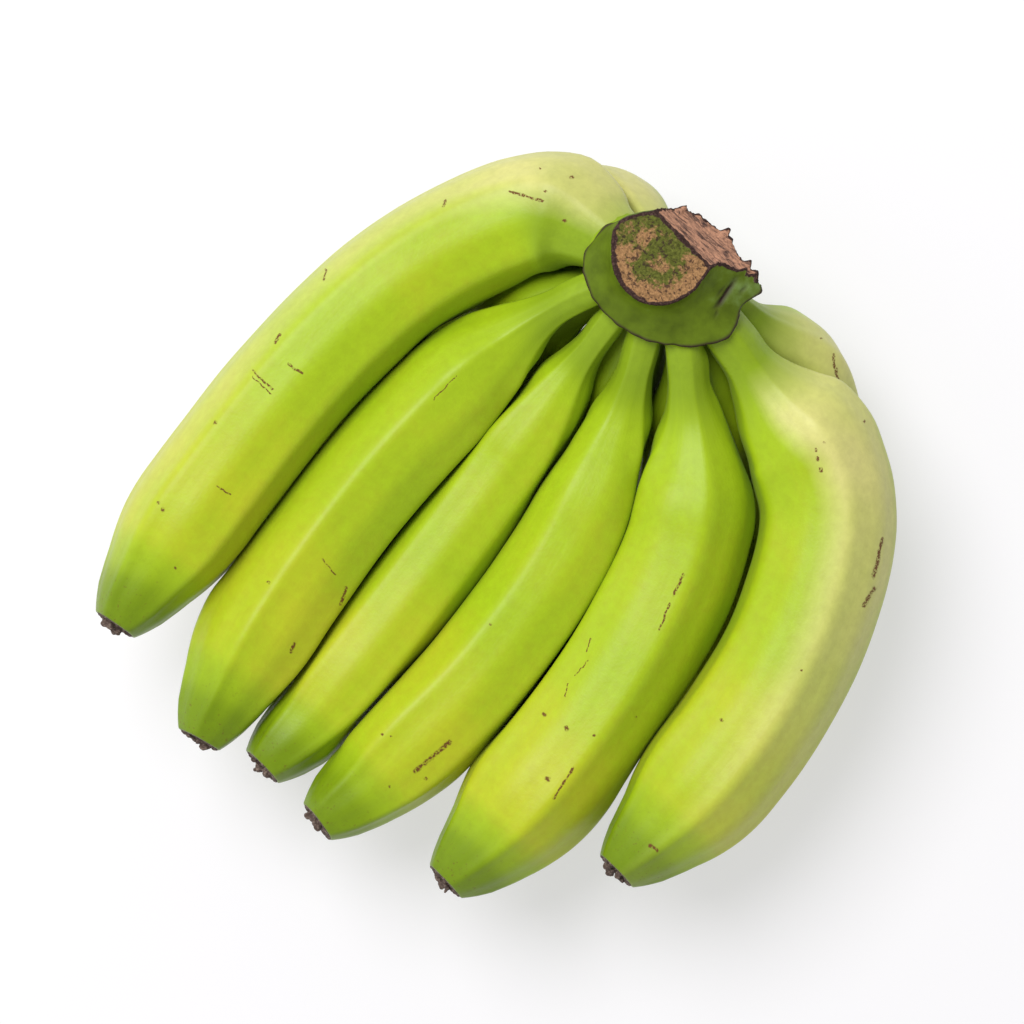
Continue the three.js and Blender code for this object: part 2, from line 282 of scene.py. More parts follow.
class Finger:
    """The smooth skin of a finger as a grid of points, rows along it and columns round it."""

    def __init__(self, name, peel):
        rings = sections(name)
        centres = np.array([ring.mean(axis=0) for ring in rings])
        tangents = np.gradient(centres, axis=0)
        tangents /= np.linalg.norm(tangents, axis=1)[:, None]
        angles = np.arange(peel.around) * 2 * math.pi / peel.around
        up = np.array([0.0, 0.0, 1.0])
        rows = []
        wave = 0
        for centre, tangent, ring in zip(centres[::-1], tangents[::-1], rings[::-1]):
            up = up - tangent * up.dot(tangent)
            up /= np.linalg.norm(up)
            side = np.cross(tangent, up)
            out = ring - centre
            turn = np.arctan2(out @ side, out @ up)
            order = np.argsort(turn)
            turn, ring = turn[order], ring[order]
            size = np.linalg.norm(ring - centre, axis=1)
            wave += np.sum(size / size.mean() * np.exp(1j * RIDGES * turn))
            knots = np.concatenate([turn[-3:] - 2 * math.pi, turn, turn[:3] + 2 * math.pi])
            looped = np.vstack([ring[-3:], ring, ring[:3]])
            wrapped = np.where(angles > math.pi, angles - 2 * math.pi, angles)
            rows.append(smooth_between(knots, looped, wrapped))
        self.ridge_turn = np.angle(wave) / RIDGES
        rows = np.array(rows[::-1])
        middle = rows[0].mean(axis=0)
        root = middle + (rows[0] - middle) * 0.9 - tangents[0] * 4 * MM
        rows = np.vstack([root[None], rows])
        middles = rows.mean(axis=1)
        reach = np.concatenate([[0], np.cumsum(np.linalg.norm(np.diff(middles, axis=0), axis=1))])
        steps = (len(rows) - 1) * peel.along + 1
        at = np.interp(np.linspace(0, len(rows) - 1, steps), np.arange(len(rows)), reach)
        flat = smooth_between(reach, rows.reshape(len(rows), -1), at)
        self.grid = flat.reshape(steps, peel.around, 3)
        self.at = at
        self.length = reach[-1]
        self.angles = angles
        self.tangent = tangents[-1]

    def normals(self):
        """Outward directions at the grid's points."""
        along = np.gradient(self.grid, axis=0)
        around = np.roll(self.grid, -1, axis=1) - np.roll(self.grid, 1, axis=1)
        out = np.cross(around, along)
        out /= np.linalg.norm(out, axis=2)[:, :, None] + 1e-12
        middle = self.grid.mean(axis=1)[:, None]
        facing = np.sum(out * (self.grid - middle), axis=2)
        return out * np.where(facing < 0, -1, 1)[:, :, None]


def grain(places, size, seed=0):
    """Smooth unevenness between -1 and 1 at each place, with features of the given size."""
    shift = Vector((seed * 7.3, seed * 3.1, seed * 5.7))
    return np.array([noise.noise(Vector(p) / size + shift) for p in places])


def mesh_object(name, places, faces):
    """A smooth mesh in the scene."""
    mesh = bpy.data.meshes.new(name)
    mesh.from_pydata([tuple(p) for p in places], [], faces)
    mesh.polygons.foreach_set("use_smooth", [True] * len(mesh.polygons))
    mesh.update()
    made = bpy.data.objects.new(name, mesh)
    bpy.context.scene.collection.objects.link(made)
    return made


def paint(made, name, values):
    """Keeps a number at each point of a mesh for its material."""
    kept = made.data.attributes.new(name, "FLOAT", "POINT")
    kept.data.foreach_set("value", np.asarray(values, dtype=np.float32))


def paint_vector(made, name, values):
    kept = made.data.attributes.new(name, "FLOAT_VECTOR", "POINT")
    kept.data.foreach_set("vector", np.asarray(values, dtype=np.float32).ravel())


def hand_over(piece, slot, *nodes):
    """Puts a finished piece in the frame in place of its CAD nodes."""
    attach(piece, "root")
    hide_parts(*nodes)


# Materials


def blank(name):
    """A new material, its node tree and its shader."""
    made = bpy.data.materials.new(name)
    made.use_nodes = True
    return made, made.node_tree, made.node_tree.nodes["Principled BSDF"]


def add(tree, kind, inputs=None, **settings):
    """Adds a shader node; an input is a value or another node's output."""
    made = tree.nodes.new("ShaderNode" + kind)
    for key, value in settings.items():
        setattr(made, key, value)
    for key, value in (inputs or {}).items():
        if isinstance(value, bpy.types.NodeSocket):
            tree.links.new(value, made.inputs[key])
        else:
            made.inputs[key].default_value = value
    return made


def attribute(tree, name):
    return add(tree, "Attribute", attribute_name=name)


def maths(tree, operation, *values):
    inputs = dict(enumerate(values))
    return add(tree, "Math", inputs, operation=operation).outputs[0]


def ranged(tree, value, low, high, to_low=0.0, to_high=1.0, curve="SMOOTHSTEP"):
    """Carries a value from one range to another, held at its ends."""
    inputs = {"Value": value, 1: low, 2: high, 3: to_low, 4: to_high}
    return add(tree, "MapRange", inputs, interpolation_type=curve).outputs[0]


def mixed(tree, share, first, second, blend="MIX"):
    """Two colours mixed by a share; a colour is an output or three numbers."""
    made = add(tree, "Mix", data_type="RGBA", blend_type=blend)
    for place, value in ((0, share), (6, first), (7, second)):
        if isinstance(value, bpy.types.NodeSocket):
            tree.links.new(value, made.inputs[place])
        elif place:
            made.inputs[place].default_value = (*value, 1)
        else:
            made.inputs[place].default_value = value
    return made.outputs[2]


def spots(tree, vector, scale, detail=2.0, roughness=0.5):
    """The strength of a noise pattern, around one half."""
    inputs = {"Vector": vector, "Scale": scale, "Detail": detail, "Roughness": roughness}
    return add(tree, "TexNoise", inputs).outputs[0]


def scaled(tree, vector, by):
    return add(tree, "VectorMath", {0: vector, 1: by}, operation="MULTIPLY").outputs[0]


def mark_group():
    """A node group that shows one scuff: how near a point is to a short line across the hand."""
    group = bpy.data.node_groups.new("scuff", "ShaderNodeTree")
    for name, kind in (("Place", "NodeSocketVector"), ("Start", "NodeSocketVector"),
                       ("Way", "NodeSocketVector"), ("Width", "NodeSocketFloat")):
        group.interface.new_socket(name, in_out="INPUT", socket_type=kind)
    group.interface.new_socket("Scuff", in_out="OUTPUT", socket_type="NodeSocketFloat")
    given = group.nodes.new("NodeGroupInput").outputs
    off = add(group, "VectorMath", {0: given[0], 1: given[1]}, operation="SUBTRACT").outputs[0]
    along = add(group, "VectorMath", {0: off, 1: given[2]}, operation="DOT_PRODUCT").outputs[1]
    whole = add(group, "VectorMath", {0: given[2], 1: given[2]}, operation="DOT_PRODUCT")
    share = maths(group, "DIVIDE", along, maths(group, "ADD", whole.outputs[1], 1e-9))
    share = add(group, "Clamp", {"Value": share}).outputs[0]
    near = add(group, "VectorMath", {0: given[2], "Scale": share}, operation="SCALE").outputs[0]
    gap = add(group, "VectorMath", {0: off, 1: near}, operation="DISTANCE").outputs[1]
    ratio = maths(group, "DIVIDE", gap, given[3])
    shown = ranged(group, ratio, 0.35, 1.0, 1.0, 0.0)
    out = group.nodes.new("NodeGroupOutput")
    group.links.new(shown, out.inputs[0])
    return group


def placed_marks(name, upper):
    """The scuffs of a finger, each carried along its line of sight to the skin on the upper side."""
    eye = np.array([*VIEW_CENTRE, bpy.context.scene.bananas_stage.camera_height])

    def on_skin(seen):
        read = np.array([*(np.add(seen, MARK_ORIGIN) * MM), MARK_PLANE])
        sight = (read - eye) / np.linalg.norm(read - eye)
        off = np.linalg.norm(np.cross(upper - eye, sight), axis=1)
        height = upper[off.argmin(), 2]
        return (eye + sight * (height - eye[2]) / sight[2])[:2]

    return [(on_skin(start), on_skin(end), width) for start, end, width in MARKS.get(name, [])]


def scuffs(tree, place, marks):
    """All the scuffs of a finger, from 0 to 1, broken up by a fine noise."""
    group = bpy.data.node_groups.get("scuff") or mark_group()
    flat = scaled(tree, place, (1, 1, 0))
    wobble = add(tree, "TexNoise", {"Vector": place, "Scale": 600.0, "Detail": 3.0}).outputs[1]
    shake = add(tree, "VectorMath", {0: wobble, 1: (0.5, 0.5, 0.5)}, operation="SUBTRACT")
    shake = scaled(tree, shake.outputs[0], (1.3 * MM, 1.3 * MM, 0))
    flat = add(tree, "VectorMath", {0: flat, 1: shake}, operation="ADD").outputs[0]
    total = None
    for start, end, width in marks:
        one = tree.nodes.new("ShaderNodeGroup")
        one.node_tree = group
        tree.links.new(flat, one.inputs[0])
        one.inputs[1].default_value = (*start, 0)
        one.inputs[2].default_value = (*(end - start), 0)
        one.inputs[3].default_value = width * MM
        total = maths(tree, "MAXIMUM", total, one.outputs[0]) if total else one.outputs[0]
    if total is None:
        return None
    upper = add(tree, "SeparateXYZ", {0: add(tree, "NewGeometry").outputs["Normal"]}).outputs[2]
    broken = ranged(tree, spots(tree, place, 1500.0, 2.0), 0.42, 0.5, 0.3, 1.0)
    total = maths(tree, "MULTIPLY", total, broken)
    return maths(tree, "MULTIPLY", total, ranged(tree, upper, 0.05, 0.3))


def tinted(tree, colour, strength):
    """A colour made lighter or darker by a strength around one."""
    grey = add(tree, "CombineXYZ", {0: strength, 1: strength, 2: strength}).outputs[0]
    return mixed(tree, 1.0, colour, grey, "MULTIPLY")


def peel_material(name, peel, marks):
    """Waxy skin: greener at both ends, streaked along its length, freckled and scuffed."""
    made, tree, shader = blank("peel_" + name)
    place = add(tree, "TexCoord").outputs["Object"]
    skin = attribute(tree, "skin").outputs["Vector"]
    ripe = attribute(tree, "ripe").outputs["Fac"]
    stem = attribute(tree, "stem").outputs["Fac"]
    tip = attribute(tree, "tip").outputs["Fac"]
    pale = attribute(tree, "pale").outputs["Fac"]

    blotch = spots(tree, place, 32.0, 3.0)
    streak = spots(tree, scaled(tree, skin, (1, 1, 0.06)), 420.0, 3.0, 0.6)
    mottle = spots(tree, place, 330.0, 4.0, 0.65)
    drift = maths(tree, "MULTIPLY_ADD", maths(tree, "SUBTRACT", blotch, 0.5), 0.6, ripe)
    drift = maths(tree, "MULTIPLY_ADD", maths(tree, "SUBTRACT", streak, 0.5), 0.1, drift)
    drift = maths(tree, "MULTIPLY_ADD", maths(tree, "SUBTRACT", mottle, 0.5), 0.35, drift)
    colour = mixed(tree, ranged(tree, drift, 0.0, 0.45), peel.green, peel.fresh)
    colour = mixed(tree, ranged(tree, drift, 0.4, 1.1), colour, peel.ripe)
    colour = mixed(tree, stem, colour, peel.stalk)
    colour = mixed(tree, tip, colour, peel.green)
    uneven = maths(tree, "MULTIPLY", pale, 0.8)
    patch = maths(tree, "MULTIPLY_ADD", maths(tree, "SUBTRACT", blotch, 0.5), uneven, pale)
    colour = mixed(tree, ranged(tree, patch, 0.05, 1.0, 0.0, 1.0, "LINEAR"), colour, peel.pale)
    colour = tinted(tree, colour, ranged(tree, streak, 0.3, 0.7, 0.985, 1.015, "LINEAR"))
    colour = tinted(tree, colour, ranged(tree, mottle, 0.3, 0.7, 1.07, 0.92, "LINEAR"))

    cells = add(tree, "TexVoronoi", {"Vector": place, "Scale": 75.0})
    chance = add(tree, "SeparateColor", {0: cells.outputs["Color"]}).outputs[0]
    dot = ranged(tree, cells.outputs["Distance"], 0.01, 0.035, 1.0, 0.0)
    dot = maths(tree, "MULTIPLY", dot, maths(tree, "GREATER_THAN", chance, 0.86))
    colour = mixed(tree, maths(tree, "MULTIPLY", dot, 0.5), colour, peel.scuff)
    specks = ranged(tree, spots(tree, place, 950.0, 2.0, 0.6), 0.62, 0.72, 0.0, 0.5)
    colour = mixed(tree, maths(tree, "MULTIPLY", specks, tip), colour, peel.scuff)
    scuffed = scuffs(tree, place, marks)
    if scuffed is not None:
        colour = mixed(tree, maths(tree, "MULTIPLY", scuffed, 0.95), colour, peel.scuff)
        tree.links.new(ranged(tree, scuffed, 0.0, 1.0, 0.42, 0.75), shader.inputs["Roughness"])
    else:
        shader.inputs["Roughness"].default_value = 0.42
    tree.links.new(colour, shader.inputs["Base Color"])
    shader.inputs["Specular IOR Level"].default_value = 0.25
    shader.inputs["Sheen Weight"].default_value = 0.03
    shader.inputs["Sheen Roughness"].default_value = 0.35

    pores = spots(tree, place, 1300.0, 2.0)
    height = maths(tree, "MULTIPLY_ADD", streak, 0.5, maths(tree, "MULTIPLY", pores, 0.35))
    height = maths(tree, "MULTIPLY_ADD", mottle, 0.5, height)
    bump = add(tree, "Bump", {"Height": height, "Strength": 0.28, "Distance": 0.4 * MM})
    tree.links.new(bump.outputs[0], shader.inputs["Normal"])
    return made


def crown_material(crown):
    """Waxy green sides, a dark dried rim, two fibrous cuts, and painted shade in the folds."""
    made, tree, shader = blank("crown")
    peel = bpy.context.scene.bananas_peel
    place = add(tree, "TexCoord").outputs["Object"]
    cut = attribute(tree, "cut").outputs["Fac"]
    torn = attribute(tree, "torn").outputs["Fac"]
    edge = attribute(tree, "edge").outputs["Fac"]
    rim = attribute(tree, "rim").outputs["Fac"]
    below = attribute(tree, "below").outputs["Fac"]
    fold_and_shade = attribute(tree, "fold_and_shade").outputs["Fac"]
    bloom = attribute(tree, "bloom").outputs["Fac"]
    flesh = attribute(tree, "flesh").outputs["Fac"]

    cloud = maths(tree, "SUBTRACT", spots(tree, place, 140.0, 4.0, 0.6), 0.5)
    grainy = spots(tree, place, 1300.0, 4.0, 0.7)
    waxy = ranged(tree, maths(tree, "MULTIPLY_ADD", cloud, 1.4, bloom), 0.2, 0.9)
    colour = mixed(tree, waxy, crown.skin, crown.bloom)
    colour = tinted(tree, colour, ranged(tree, cloud, -0.2, 0.2, 0.72, 1.28, "LINEAR"))
    colour = mixed(tree, below, colour, peel.stalk)

    flecks = maths(tree, "SUBTRACT", spots(tree, place, 620.0, 4.0, 0.7), 0.5)
    patch = maths(tree, "MULTIPLY_ADD", flecks, 1.5, flesh)
    cutting = mixed(tree, ranged(tree, patch, 0.35, 0.65), crown.flesh, crown.sap)
    cutting = tinted(tree, cutting, ranged(tree, grainy, 0.32, 0.7, 0.45, 1.5, "LINEAR"))
    pits = ranged(tree, spots(tree, place, 800.0, 3.0, 0.6), 0.37, 0.45, 0.8, 0.0)
    cutting = mixed(tree, pits, cutting, crown.bark_and_fold_shade)

    bent = add(tree, "TexNoise", {"Vector": place, "Scale": 160.0, "Detail": 2.0}).outputs[1]
    bent = add(tree, "VectorMath", {0: bent, 1: (0, 3 * MM, 3 * MM)}, operation="MULTIPLY").outputs[0]
    along = add(tree, "VectorMath", {0: place, 1: bent}, operation="ADD").outputs[0]
    fibres = spots(tree, scaled(tree, along, (0.13, 1, 1)), 1000.0, 5.0, 0.7)
    split = mixed(tree, ranged(tree, fibres, 0.38, 0.56), crown.scab, crown.fibre)
    split = mixed(tree, ranged(tree, fibres, 0.32, 0.4, 0.8, 0.0), split, crown.bark_and_fold_shade)
    split = tinted(tree, split, ranged(tree, grainy, 0.3, 0.7, 0.65, 1.2, "LINEAR"))

    colour = mixed(tree, cut, colour, cutting)
    colour = mixed(tree, torn, colour, split)
    crumbly = maths(tree, "MULTIPLY_ADD", flecks, 0.7, edge)
    scab = mixed(tree, ranged(tree, grainy, 0.45, 0.75), crown.bark_and_fold_shade, crown.scab)
    colour = mixed(tree, ranged(tree, crumbly, 0.3, 0.5), colour, scab)
    colour = mixed(tree, rim, colour, crown.bark_and_fold_shade)
    # Painted shade: the folds are painted with the dark of the dried edge.
    colour = mixed(tree, fold_and_shade, colour, crown.bark_and_fold_shade)
    tree.links.new(colour, shader.inputs["Base Color"])
    dry = maths(tree, "MAXIMUM", maths(tree, "MAXIMUM", cut, torn), edge)
    tree.links.new(ranged(tree, dry, 0.0, 1.0, 0.5, 0.95), shader.inputs["Roughness"])
    shader.inputs["Specular IOR Level"].default_value = 0.15
    rough = maths(tree, "MULTIPLY", grainy, maths(tree, "MULTIPLY_ADD", dry, 0.9, 0.1))
    bump = add(tree, "Bump", {"Height": rough, "Strength": 0.7, "Distance": 0.5 * MM})
    tree.links.new(bump.outputs[0], shader.inputs["Normal"])
    return made


def blossom_material(blossom):
    """Dry crumbly crust."""
    made, tree, shader = blank("blossom_end")
    place = add(tree, "TexCoord").outputs["Object"]
    crumbly = spots(tree, place, 1100.0, 5.0, 0.7)
    colour = mixed(tree, ranged(tree, crumbly, 0.45, 0.7), blossom.crust, blossom.dust)
    tree.links.new(colour, shader.inputs["Base Color"])
    shader.inputs["Roughness"].default_value = 0.95
    bump = add(tree, "Bump", {"Height": crumbly, "Strength": 0.8, "Distance": 0.5 * MM})
    tree.links.new(bump.outputs[0], shader.inputs["Normal"])
    return made


# Pieces


def facets(turn, flat):
    """How far a five-sided section stands out from the frame's, as a share of the radius."""
    faces = [np.maximum(0, np.cos(turn - (2 * k + 1) * math.pi / RIDGES)) for k in range(RIDGES)]
    outline = np.sum(np.array(faces) ** CORNER_HARDNESS, axis=0) ** (-1 / CORNER_HARDNESS)
    return flat * (outline / outline.mean() - 1) - FRAME_RIDGE * np.cos(RIDGES * turn)


def pale_side(finger, share, middle, half, soft, stops):
    """How pale each point of a finger is, wider round it near the stalk."""
    off = np.abs(np.angle(np.exp(1j * (finger.angles - math.radians(middle)))))
    wide = np.radians(half + np.interp(share, [0.12, 0.28], [25, 0]))
    side = np.clip((wide[:, None] - off[None]) / math.radians(soft) + 0.5, 0, 1)
    strength = np.interp(share, *zip(*stops))
    return (side * strength[:, None]).ravel()


def build_finger(name, peel):
    """A finger with ridges and lumps, its stalk run into the crown and its tip closed."""
    finger = Finger(name, peel)
    grid, out = finger.grid, finger.normals()
    rows, columns = grid.shape[:2]
    share = finger.at / finger.length
    turn = finger.angles - finger.ridge_turn
    crest = np.maximum(0, np.cos(RIDGES * turn)) ** 4
    strength = np.interp(share, [0, 0.08, 0.25, 0.5, 0.88, 0.96, 1], [0, 0.3, 0.06, 0.06, 1.1, 1, 0])
    swell = np.interp((finger.length - finger.at) / MM, [0, 3, 8, 18], [0, 0.5, 0.7, 0]) * MM
    lump = grain(grid.reshape(-1, 3), 22 * MM, len(name) + rows).reshape(rows, columns)
    fade = np.interp(share, [0, 0.1, 0.9, 1], [0, 1, 1, 0])
    raised = peel.ridge_height * strength[:, None] * crest[None]
    size = np.linalg.norm(grid - grid.mean(axis=1)[:, None], axis=2)
    radius = np.median(size, axis=1)[:, None]
    free = np.clip((size / radius - 0.9) / 0.06, 0, 1)
    faceted = np.interp(share, [0, 0.08, 0.2, 0.8, 0.97, 1], [0, 0.3, 0.9, 1, 1, 0])[:, None]
    raised = raised + radius * faceted * facets(turn, peel.facet)[None] * free
    raised = raised + peel.lump_height * fade[:, None] * lump + swell[:, None]
    raised = np.where(grid[:, :, 2] < 1.5 * MM, np.minimum(raised, 0), raised)
    places = grid + out * raised[:, :, None]
    places[:, :, 2] = np.maximum(places[:, :, 2], 0)

    lips = ((0.35, 0.96), (0.45, 0.9), (-0.4, 0.8), (-0.6, 0.02))
    end = places[-1].mean(axis=0)
    extra = [end + (places[-1] - end) * size + finger.tangent * deep * MM for deep, size in lips]
    places = np.concatenate([places, np.array(extra)])
    rows = len(places)
    faces = []
    for row in range(rows - 1):
        for column in range(columns):
            a, b = row * columns + column, row * columns + (column + 1) % columns
            faces.append((a, b, b + columns, a + columns))
    faces.append(tuple(range(columns))[::-1])
    faces.append(tuple(range((rows - 1) * columns, rows * columns)))
    made = mesh_object(name + "_peel", places.reshape(-1, 3), faces)

    share = np.concatenate([share, [1] * len(extra)])
    at = np.concatenate([finger.at, [finger.length] * len(extra)])
    around = np.stack([np.cos(finger.angles), np.sin(finger.angles)], axis=1) * 18 * MM
    skin = np.concatenate([np.tile(around, (rows, 1)), np.repeat(at, columns)[:, None]], axis=1)
    paint_vector(made, "skin", skin)
    shares = [0, 0.1, 0.2, 0.35, 0.55, 0.75, 0.87, 0.95]
    ripe = np.interp(share, shares, [0.1, 0.15, 0.5, 0.6, 0.5, 0.85, 0.8, 0.2])
    paint(made, "ripe", np.repeat(ripe, columns))
    paint(made, "stem", np.repeat(np.interp(share, [0, 0.08, 0.18], [1, 0.9, 0]), columns))
    from_tip = (finger.length - at) / MM
    paint(made, "tip", np.repeat(np.interp(from_tip, [0, 6, 14, 26], [1, 0.85, 0.4, 0]), columns))
    paint(made, "pale", pale_side(finger, share, *PALE[name]) if name in PALE else np.zeros(len(skin)))
    marks = placed_marks(name, grid[out[:, :, 2] > 0.1])
    made.data.materials.append(peel_material(name, peel, marks))
    hand_over(made, "peel", name)
    return made


def evaluated(made, *modifiers):
    """Replaces an object's mesh with its shape after modifiers, given as kind and settings."""
    for kind, settings in modifiers:
        modifier = made.modifiers.new(kind, kind)
        for key, value in settings.items():
            setattr(modifier, key, value)
    shaped = bpy.data.meshes.new_from_object(made.evaluated_get(bpy.context.evaluated_depsgraph_get()))
    made.modifiers.clear()
    made.data = shaped
    return made


def cut_planes(node):
    """A point and the direction of the crown's two biggest flat faces: the cut and the tear."""
    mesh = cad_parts[node].data
    found = {}
    for face in mesh.polygons:
        key = tuple(np.round(face.normal, 2))
        area, middle = found.get(key, (0, Vector()))
        found[key] = (area + face.area, middle + face.center * face.area)
    flat = max((k for k in found if k[2] > 0.95), key=lambda k: found[k][0])
    steep = max((k for k in found if 0.3 < k[2] < 0.9 and k[1] > 0.3), key=lambda k: found[k][0])
    return [(found[k][1] / found[k][0], Vector(k).normalized()) for k in (flat, steep)]


def slice_off(made, point, normal):
    """Takes away what stands above a plane and closes the cut."""
    shape = bmesh.new()
    shape.from_mesh(made.data)
    geometry = shape.verts[:] + shape.edges[:] + shape.faces[:]
    bmesh.ops.bisect_plane(shape, geom=geometry, plane_co=point, plane_no=normal, clear_outer=True)
    edges = [edge for edge in shape.edges if edge.is_boundary]
    bmesh.ops.holes_fill(shape, edges=edges)
    shape.to_mesh(made.data)
    shape.free()


def build_crown(crown, peel):
    """The crown: CAD solid and stalk ends grown together, cut again, then given its detail."""
    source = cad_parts["crown"].data
    places = [v.co.copy() for v in source.vertices]
    faces = [tuple(face.vertices) for face in source.polygons]
    for name in FRONT + BACK:
        finger = Finger(name, peel)
        short = finger.grid[: peel.along + 3 : 2]
        rows, columns = short.shape[:2]
        middle = short.mean(axis=1)[:, None]
        start = len(places)
        places += [Vector(p) for p in (middle + (short - middle) * 0.97).reshape(-1, 3)]
        for row in range(rows - 1):
            for column in range(columns):
                a, b = row * columns + column, row * columns + (column + 1) % columns
                faces.append(tuple(start + i for i in (a, b, b + columns, a + columns)))
        faces.append(tuple(start + i for i in range(columns))[::-1])
        faces.append(tuple(start + i for i in range((rows - 1) * columns, rows * columns)))
    made = mesh_object("crown_skin", places, faces)
    rough = {"mode": "VOXEL", "voxel_size": 0.8 * MM}
    evaluated(made, ("REMESH", rough), ("SMOOTH", {"factor": 0.5, "iterations": 8}))
    planes = cut_planes("crown")
    for point, normal in planes:
        slice_off(made, point - normal * 0.3 * MM, normal)
    evaluated(made, ("REMESH", {"mode": "VOXEL", "voxel_size": crown.voxel}))
    detail_crown(made, crown, planes)
    made.data.polygons.foreach_set("use_smooth", [True] * len(made.data.polygons))
    made.data.materials.append(crown_material(crown))
    hand_over(made, "crown", "crown")
    return made


def detail_crown(made, crown, planes):
    """Marks the cut, the tear, their edges, the rim and the folds, whose mask also carries painted shade,
    and gives each its relief.
    """
    mesh = made.data
    places = np.array([v.co for v in mesh.vertices])
    normals = np.array([v.normal for v in mesh.vertices])
    on = []
    for point, normal in planes:
        away = (places - np.array(point)) @ np.array(normal) + 0.3 * MM
        on.append((np.abs(away) < 0.25 * MM) & (normals @ np.array(normal) > 0.8))
    cut, torn = on
    torn &= ~cut

    def distance_to(chosen, inside):
        """How far each point picked by the second mask is from the points of the first."""
        tree = kdtree.KDTree(int(chosen.sum()))
        for i, p in enumerate(places[chosen]):
            tree.insert(p, i)
        tree.balance()
        return np.array([tree.find(p)[2] if use else 1 for p, use in zip(places, inside)])

    fine = grain(places, 1.6 * MM, 1)
    ragged = grain(places, 4 * MM, 2)
    to_cut, to_torn = distance_to(~cut, cut), distance_to(~torn, torn)
    inside = np.where(cut, to_cut, to_torn)
    front = cut & (places[:, 1] < places[cut][:, 1].mean())
    thick = 1.0 + 0.6 * front * (places[:, 0] < places[cut][:, 0].mean() + 4 * MM)
    border = np.clip(1.3 - inside / ((thick + 0.5 * ragged + 0.4 * fine) * MM), 0, 1)
    near_cut = distance_to(cut, normals[:, 2] > -2) / MM
    near_torn = distance_to(torn, normals[:, 2] > -2) / MM
    crust = np.clip(1 - np.minimum(near_cut, near_torn) / (0.7 + 0.3 * ragged), 0, 1)
    border = np.where(cut | torn, border, crust)

    low, high = (np.array(corner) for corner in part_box("crown"))
    rim_height = low[2] + RIM_SHARE * (high[2] - low[2]) + 0.45 * MM * grain(places, 6 * MM, 5)
    rise = (places[:, 2] - rim_height) / MM
    rim = np.exp(-(((rise - 0.3) / 0.5) ** 4)) * (near_torn > 1.2) * (normals[:, 2] > -0.8)
    below = np.clip(-rise / 0.6, 0, 1) * np.clip((near_torn - 1) / 2, 0, 1)

    middle = np.average(places[cut], axis=0)
    off = (places - middle) / MM
    green = 0.60 + 0.02 * off[:, 1] + 0.16 * grain(places, 4.5 * MM, 6) + 0.1 * grain(places, 2 * MM, 9)
    reach = np.hypot(off[:, 0] / 14.5, off[:, 1] / 11.5)
    green -= 0.55 * np.clip((reach - 0.62) / 0.2, 0, 1) * (off[:, 1] < 3 + 0.5 * off[:, 0])
    for x, y, size, depth in ((3.5, 1.0, 2.8, 0.45), (-6, 5, 3.2, 0.4), (-8, -2, 3, 0.3), (9, 6, 2, 0.2)):
        green -= depth * np.exp(-((off[:, 0] - x) ** 2 + (off[:, 1] - y) ** 2) / size**2)
    green += 0.35 * np.exp(-((reach - 0.38) / 0.14) ** 2) * (off[:, 0] > -4)

    # The folds: dents in the skin; the same mask carries the painted shade put into them.
    fold_and_shade = np.zeros(len(places))
    for x, start, stop, lean, width, strength in (
        (9.9, 85, 98, 0.03, 0.8, 1.0), (11.4, 83, 88, -0.25, 0.5, 0.7), (13.6, 93, 98, 0.05, 0.6, 0.8),
        (8.2, 88, 95, 0.12, 0.5, 0.5),
    ):
        centre = x * MM + (places[:, 1] - start * MM) * lean
        across = np.abs(places[:, 0] - centre + 0.3 * MM * fine)
        ends = np.minimum(places[:, 1] - start * MM, stop * MM - places[:, 1])
        within = np.clip(ends / (4 * MM), 0, 1) * strength
        fold_and_shade = np.maximum(fold_and_shade, np.exp(-((across / (width * MM)) ** 2)) * within)
    fold_and_shade *= (normals[:, 2] > 0) & ~cut & ~torn

    fibre = grain(places * np.array([0.14, 1, 1]), 0.8 * MM, 4)
    strand = grain(places * np.array([0.1, 1, 1]), 2.5 * MM, 8)
    rough = grain(places, 0.9 * MM, 12)
    move = np.where(cut, 0.14 * fine + 0.1 * rough, 0) + np.where(torn, 0.25 * fibre + 0.4 * strand, 0)
    move += border * (0.35 + 0.35 * rough) * (cut | torn) + np.where(cut | torn, 0, border * 0.25 * rough)
    move += rim * (0.35 + 0.6 * grain(places, 3.5 * MM, 14)) - fold_and_shade * 1.1
    move += 0.3 * grain(places, 6 * MM, 13) * (~cut & ~torn) * np.clip(near_cut / 4, 0, 1)
    outer = torn & (to_torn < 1.0 * MM) & (near_cut > 4)
    back = np.array(planes[1][1]) * np.array([1, 1, 0])
    back /= np.linalg.norm(back)
    teeth = 0.7 * np.maximum(0, grain(places * np.array([1, 0.3, 0.3]), 1.6 * MM, 15))
    teeth += 0.35 * grain(places, 0.9 * MM, 16)
    for x, tall in ((-14.6, 1.7), (-9, 0.6), (-0.2, 2.4), (2.2, 1.2), (10.5, 2.0), (13.8, 1.7), (17.6, 1.8)):
        teeth += tall * np.exp(-(((places[:, 0] + 0.3 * MM * fine) / MM - x) ** 2))
    reachable = np.exp(-((distance_to(outer, near_torn < 4) / (1.1 * MM)) ** 2))
    places = places + normals * (move * MM)[:, None] + back * (reachable * teeth * MM)[:, None]
    mesh.vertices.foreach_set("co", places.ravel())
    mesh.update()
    paint(made, "cut", cut)
    paint(made, "torn", torn)
    paint(made, "edge", border)
    paint(made, "rim", np.clip(rim, 0, 1))
    paint(made, "below", below)
    paint(made, "fold_and_shade", np.clip(fold_and_shade, 0, 1))
    paint(made, "flesh", np.clip(green, 0, 1))
    glaze = 0.45 * np.clip((places[:, 0] / MM - 2) / 8, 0, 1) * np.clip((places[:, 1] / MM - 82) / 8, 0, 1)
    paint(made, "bloom", glaze)


